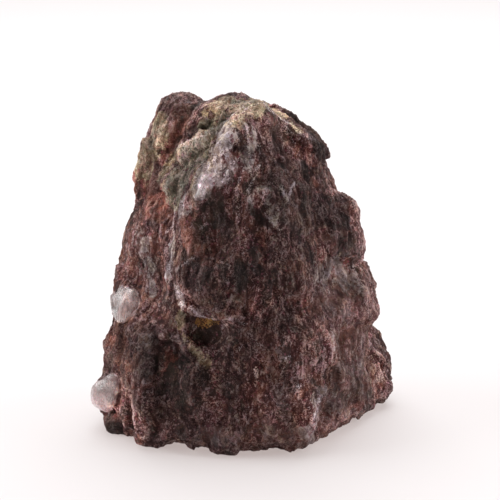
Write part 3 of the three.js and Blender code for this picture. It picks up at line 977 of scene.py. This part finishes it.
def rock_material():
    """Dark fibrous rock with rust, crust, silky and green-black patches."""
    colours = settings("specimen_colours")
    material, w, shader = new_material("fibrous_rock", {"Specular IOR Level": 0.2})

    def drawn(name, output="Fac"):
        return w.node("ShaderNodeAttribute", attribute_name=name).outputs[output]

    place = w.place()
    flow = drawn("flow", "Vector")

    # Broken grains of two sizes, each with three values of its own.
    warped = w.wavering(flow, 2.2, place, 1.6, 4)

    def mosaic(across, along):
        return w.split(w.centred(w.cells(w.tall(warped, across, along))["Color"]))

    broad = mosaic(1.1, 2.2)
    narrow = mosaic(0.4, 0.7)

    # Fine threads and long hairs, which lie across each other and are broken off here and there.
    height = w.split(flow)["Z"]
    slant = w.joined(height, w.times(height, -1.0), 0.0)

    def threads(across, along, lean):
        return fibres(w, w.vector("ADD", flow, w.scaled(slant, lean)), across, along, 1.0)[1]

    def tufts(wide, high, across, along):
        """Bundles of fibres, each with its fibres lying its own way."""
        places = w.tall(warped, wide, high)
        bundle = w.cells(places)
        inside = w.vector("MULTIPLY", w.vector("SUBTRACT", places, bundle["Position"]), (wide, wide, high))
        lean = w.split(w.centred(bundle["Color"]))
        rise = w.split(inside)["Z"]
        sheared = w.joined(w.times(lean["X"], rise), w.times(lean["Y"], rise), 0.0)
        apart = w.vector("ADD", inside, w.scaled(bundle["Color"], BUNDLES_APART))
        return fibres(w, w.vector("ADD", apart, w.scaled(sheared, 1.6)), across, along, 1.0, 3.0)

    gap = w.split(w.noises(place, 0.9, 3)["Color"])
    hairs = w.largest(
        w.times(threads(1.1, 6.0, 0.0), w.ramp(gap["X"], 0.44, 0.58)),
        w.times(threads(0.9, 4.0, 0.5), w.ramp(gap["Y"], 0.5, 0.6)),
        w.times(fibres(w, place, 1.4, 1.4, 1.0, 6.0)[1], w.ramp(gap["Z"], 0.5, 0.6)),
    )
    strands = tufts(2.2, 3.6, 0.15, 0.7)[0]
    lines = tufts(3.0, 5.0, 0.55, 4.0)[1]
    fine = w.sum((strands, 0.38), (w.math("SUBTRACT", lines, 0.25), 0.4))
    # Sparks are painted glints: small pale spots that stand in for light caught by single grains.
    glints = w.cells(place, 2.4)
    glint = w.split(glints["Color"])
    sparks = w.times(w.ramp(glints["Distance"], 0.22, 0.08), w.ramp(glint["X"], 0.6, 0.75))

    # How light each grain is, from 0 to 1, with painted glints, painted light on the edges and painted shade
    # in the hollows among its parts.
    specks = w.swing(place, 7.0, 1.0, 0.6)
    line = w.ramp(w.sum(drawn("thread"), (strands, 0.5), (specks, 0.25)), 0.5, 1.4)
    milk = w.largest(*[drawn(node) for node in CRYSTALS])
    flecks = fibres(w, flow, 0.17, 0.42)[0]
    clouds = w.swing(place, 0.3, 3.0, 0.6)
    calm = w.times(w.ramp(drawn("silk"), 0.1, 0.8, 1.0, 0.55), w.ramp(milk, 0.1, 0.6, 1.0, 0.4))
    lively = w.times(w.ramp(w.noise(place, 0.5, 3.0), 0.4, 0.6, 0.65, 1.25), calm)
    grain = w.sum(
        0.205,
        (w.sum((specks, 0.22), (flecks, 0.12), fine), lively),
        (hairs, 0.5),
        (line, 0.6),
        (sparks, 0.3),
        (fibres(w, flow, 0.9, 3.2, 3.0)[0], 0.06),
        (clouds, 0.1),
        (broad["X"], 0.16),
        (narrow["X"], w.sum(0.12, (drawn("nodules"), 0.3))),
        # Points that stand out of the skin are painted paler and points in hollows darker: painted light on
        # the edges and painted shade in the crevices.
        (w.ramp(drawn("edge"), -0.04, 0.04, -1.0, 1.0), 0.1),
        (w.ramp(drawn("brow"), -0.35, 0.35, -1.0, 1.0), 0.08),
    )

    # Where a mineral gives way to the next, its edge breaks up into patches and then into grains.
    ragged = w.sum(
        (w.swing(place, 0.8, 5.0, 0.7), 0.4), (broad["Y"], 0.45), (narrow["Y"], 0.4), (flecks, 0.15))

    # Behind, each mineral lies in a few broad patches.
    share = w.split(w.noises(place, 0.17, 1)["Color"])
    behind = w.ramp(w.split(place)["Y"], 2.5, 5.5)
    least = {"crust": (share["X"], 0.58), "silk": (share["Y"], 0.55), "rust": (share["Z"], 0.5)}

    def amount(name):
        if name not in least:
            return drawn(name)
        value, level = least[name]
        return w.largest(drawn(name), w.times(w.ramp(value, level, level + 0.15, 0.0, 0.7), behind))

    def patch(name, low=0.45, high=0.65):
        present = amount(name)
        return w.times(w.ramp(w.sum(present, ragged), low, high), w.ramp(present, 0.0, 0.2))

    def of_mineral(name):
        shades = [getattr(colours, name + end) for end in ("_dark", "", "_pale")]
        return w.palette(grain, (0.05, 0.42, 0.95), shades)

    # Each grain leans to grey or to red, and to lilac or to orange.
    def leaning(tints, *swings):
        return w.palette(w.sum(0.5, *swings), (0.0, 0.5, 1.0), tints)

    redness = leaning(
        ((0.86, 1.0, 1.0), (1.0, 0.92, 0.92), (1.1, 0.7, 0.75)),
        (w.swing(place, 0.5), 0.15), (w.swing(place, 1.8, 4.0, 0.7), 0.3), (narrow["Z"], 0.4))
    warmth = leaning(
        ((0.94, 0.95, 1.12), (1.0, 1.0, 1.0), (1.06, 0.98, 0.74)),
        (w.swing(place, 0.4), 0.2), (w.swing(place, 1.2, 5.0, 0.75), 0.35), (narrow["Y"], 0.4))

    stray = w.sum(broad["Z"], (clouds, 0.12))
    rusty = w.largest(patch("rust", 0.1, 0.95), w.times(w.ramp(stray, 0.3, 0.34), 0.4))
    silk = w.largest(
        patch("silk"),
        w.times(w.ramp(w.sum(stray, ragged), 0.75, 0.95), 0.6),
        w.times(line, 0.7),
        w.ramp(milk, 0.1, 0.6),
    )
    colour = w.blend(rusty, of_mineral("rock"), of_mineral("rust"))
    colour = w.blend(w.times(w.ramp(stray, -0.3, -0.36), 0.5), colour, colours.shade)
    for name in ("crust", "moss"):
        colour = w.blend(patch(name), colour, of_mineral(name))
    colour = w.blend(w.times(silk, 0.85), colour, of_mineral("silk"))

    # A few stray grains are crimson.
    crimson = w.times(w.ramp(glints["Distance"], 0.35, 0.15), w.ramp(glint["Y"], 0.66, 0.8))
    colour = w.blend(w.times(crimson, 0.45), colour, colours.crimson)

    # The round nodules are glassy, and each leans to a colour of its own.
    nodule = w.split(w.cells(place, 0.75, smoothness=0.35)["Color"])["X"]
    glassy = w.palette(
        w.sum(nodule, (specks, 0.1), (narrow["X"], 0.3)),
        (0.3, 0.4, 0.48, 0.58, 0.68),
        (colours.nodule, colours.rust, colours.silk, colours.nodule, colours.silk),
    )
    colour = w.blend(w.times(patch("nodules", 0.4, 0.9), 0.3), colour, glassy)
    # Green-black patches: the dark mineral, and painted shade in hollows and on facets turned from the lamps.
    colour = w.blend(w.times(patch("shade", 0.3, 0.9), 0.7), colour, colours.shade)
    colour = w.blend(w.times(patch("ochre"), w.ramp(grain, 0.0, 0.5)), colour, colours.ochre)

    colour = w.blend(w.math("SUBTRACT", 1.0, w.times(silk, 0.85)), colour, redness, "MULTIPLY")
    colour = w.blend(1.0, colour, warmth, "MULTIPLY")
    # The drawn tone strokes carry painted light and shade as well as the rock's own paler and darker patches.
    tone = w.math("POWER", 2.0, w.sum(drawn("tone"), (clouds, 0.3), (milk, 1.4), (line, 0.5)))
    w.feed(w.scaled(colour, tone), shader.inputs["Base Color"])
    w.feed(w.ramp(w.sum(grain, (silk, 0.3)), 0.4, 1.1, 0.78, 0.42), shader.inputs["Roughness"])
    w.bump(shader, w.sum((flecks, 0.3), (specks, 0.25), (fine, 1.2), (hairs, 0.7)), 0.8, 0.08)
    return material


class SPECIMEN_OT_crystals(bpy.types.Operator):
    """Make each glassy crystal fill its hollow in the rock"""

    bl_idname = "specimen.crystals"
    bl_label = "Grow the crystals"

    def execute(self, context):
        crystal = settings("specimen_crystal")
        glass = crystal_material()
        ripples = bpy.data.textures.new("ripples", "CLOUDS")
        ripples.noise_scale = crystal.ripple_width
        for node in CRYSTALS:
            piece = skin_over_crystal(node)
            apply_modifier(piece, "SMOOTH", iterations=crystal.melting)
            apply_modifier(
                piece, "SOLIDIFY", thickness=crystal.thickness, offset=0.0, vertex_group="cover")
            apply_modifier(piece, "REMESH", mode="VOXEL", voxel_size=crystal.faces)
            apply_modifier(piece, "SMOOTH", iterations=crystal.rounding)
            apply_modifier(piece, "DISPLACE", texture=ripples, strength=crystal.ripples)
            bpy.ops.object.shade_smooth()
            piece.data.materials.append(glass)
            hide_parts(node)
            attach(piece, "root")
        return {"FINISHED"}


def skin_over_crystal(node):
    """A copy of the part of the rock's skin that a crystal covers, weighted by how well it is covered."""
    piece = copy_of(bpy.data.objects["rock_surface"], node + "_glass")
    cover = piece.vertex_groups.new(name="cover")
    shares = [share.value for share in piece.data.attributes[node].data]
    for index, share in enumerate(shares):
        if share > 0:
            cover.add([index], share, "REPLACE")
    for polygon in piece.data.polygons:
        polygon.select = not all(shares[index] > 0 for index in polygon.vertices)
    bpy.context.tool_settings.mesh_select_mode = (False, False, True)
    bpy.ops.object.mode_set(mode="EDIT")
    bpy.ops.mesh.delete(type="FACE")
    bpy.ops.object.mode_set(mode="OBJECT")
    if not piece.data.polygons:
        raise RuntimeError(f"{node} covers none of the rock's skin")
    return piece


def crystal_material():
    """Milky glass with silky streaks and cloudy patches."""
    colours = settings("specimen_colours")
    material, w, shader = new_material("milky_crystal", {"Transmission Weight": 0.72, "IOR": 1.5})
    place = w.place()
    streaks, threads = fibres(w, place, 0.45, 1.6, 2.0, 6.0)
    cloudy = w.ramp(w.sum((streaks, 0.6), w.swing(place, 0.8, 3.0, 0.6)), -0.6, 0.5)
    w.feed(w.blend(cloudy, colours.crystal_dark, colours.crystal), shader.inputs["Base Color"])
    w.feed(w.ramp(w.sum(streaks, threads), -0.8, 1.2, 0.1, 0.35), shader.inputs["Roughness"])
    w.bump(shader, streaks, 0.4, 0.05)
    return material


class SPECIMEN_OT_stage(bpy.types.Operator):
    """Set up the floor, the lights and the camera"""

    bl_idname = "specimen.stage"
    bl_label = "Set the stage"

    def execute(self, context):
        stage = settings("specimen_stage")
        scene = context.scene
        scene.view_settings.view_transform = "Standard"

        bpy.ops.object.select_all(action="DESELECT")
        bpy.ops.mesh.primitive_plane_add(size=FLOOR_WIDTH, location=(0, 0, 0))
        floor = context.object
        floor.name = "floor"
        finish = {"Base Color": stage.floor, "Roughness": 0.9, "Emission Color": stage.glow,
                  "Emission Strength": 1.0}
        floor.data.materials.append(new_material("pale_paper", finish)[0])

        # The camera sees a white room, and the rock gets only the fill from it.
        world = bpy.data.worlds.new("studio")
        scene.world = world
        world.use_nodes = True
        sky = world.node_tree.nodes["Background"]
        w = Wiring(world.node_tree)
        w.feed((1, 1, 1), sky.inputs["Color"])
        seen = w.node("ShaderNodeLightPath").outputs["Is Camera Ray"]
        w.feed(w.ramp(seen, 0.0, 1.0, stage.fill, 1.0), sky.inputs["Strength"])

        for name, (place, width) in LAMPS.items():
            bpy.ops.object.light_add(type="AREA", location=place)
            lamp = context.object
            lamp.name = name
            lamp.data.size = width
            lamp.data.energy = getattr(stage, name)
            turn_towards(lamp, LAMPS_AIM - Vector(place))

        forward, _ = camera_axes(stage.elevation)
        bpy.ops.object.camera_add(location=Vector(stage.aim) - forward * stage.distance)
        camera = context.object
        camera.name = "camera"
        turn_towards(camera, forward)
        camera.data.lens = stage.lens
        camera.data.clip_start, camera.data.clip_end = CAMERA_SEES
        scene.camera = camera
        return {"FINISHED"}


class SPECIMEN_PT_sidebar(bpy.types.Panel):
    """Steps and settings of the specimen"""

    bl_idname = "SPECIMEN_PT_sidebar"
    bl_label = "Specimen"
    bl_space_type = "VIEW_3D"
    bl_region_type = "UI"
    bl_category = "Specimen"

    def draw(self, context):
        for operator in OPERATORS:
            self.layout.operator(operator.bl_idname)
        for name in SETTINGS:
            group = getattr(context.scene, name)
            box = self.layout.box()
            for key in group.__annotations__:
                box.prop(group, key)


OPERATORS = (SPECIMEN_OT_rock, SPECIMEN_OT_crystals, SPECIMEN_OT_stage)
SETTINGS = {
    "specimen_rock": RockSettings,
    "specimen_crystal": CrystalSettings,
    "specimen_colours": ColourSettings,
    "specimen_stage": StageSettings,
}


def register():
    for kind in (*SETTINGS.values(), *OPERATORS, SPECIMEN_PT_sidebar):
        bpy.utils.register_class(kind)
    for name, kind in SETTINGS.items():
        setattr(bpy.types.Scene, name, bpy.props.PointerProperty(type=kind))


def unregister():
    for name in SETTINGS:
        delattr(bpy.types.Scene, name)
    for kind in (SPECIMEN_PT_sidebar, *reversed(OPERATORS), *SETTINGS.values()):
        bpy.utils.unregister_class(kind)


def main():
    register()
    bpy.ops.specimen.rock()
    bpy.ops.specimen.crystals()
    bpy.ops.specimen.stage()


if __name__ == "__main__":
    main()
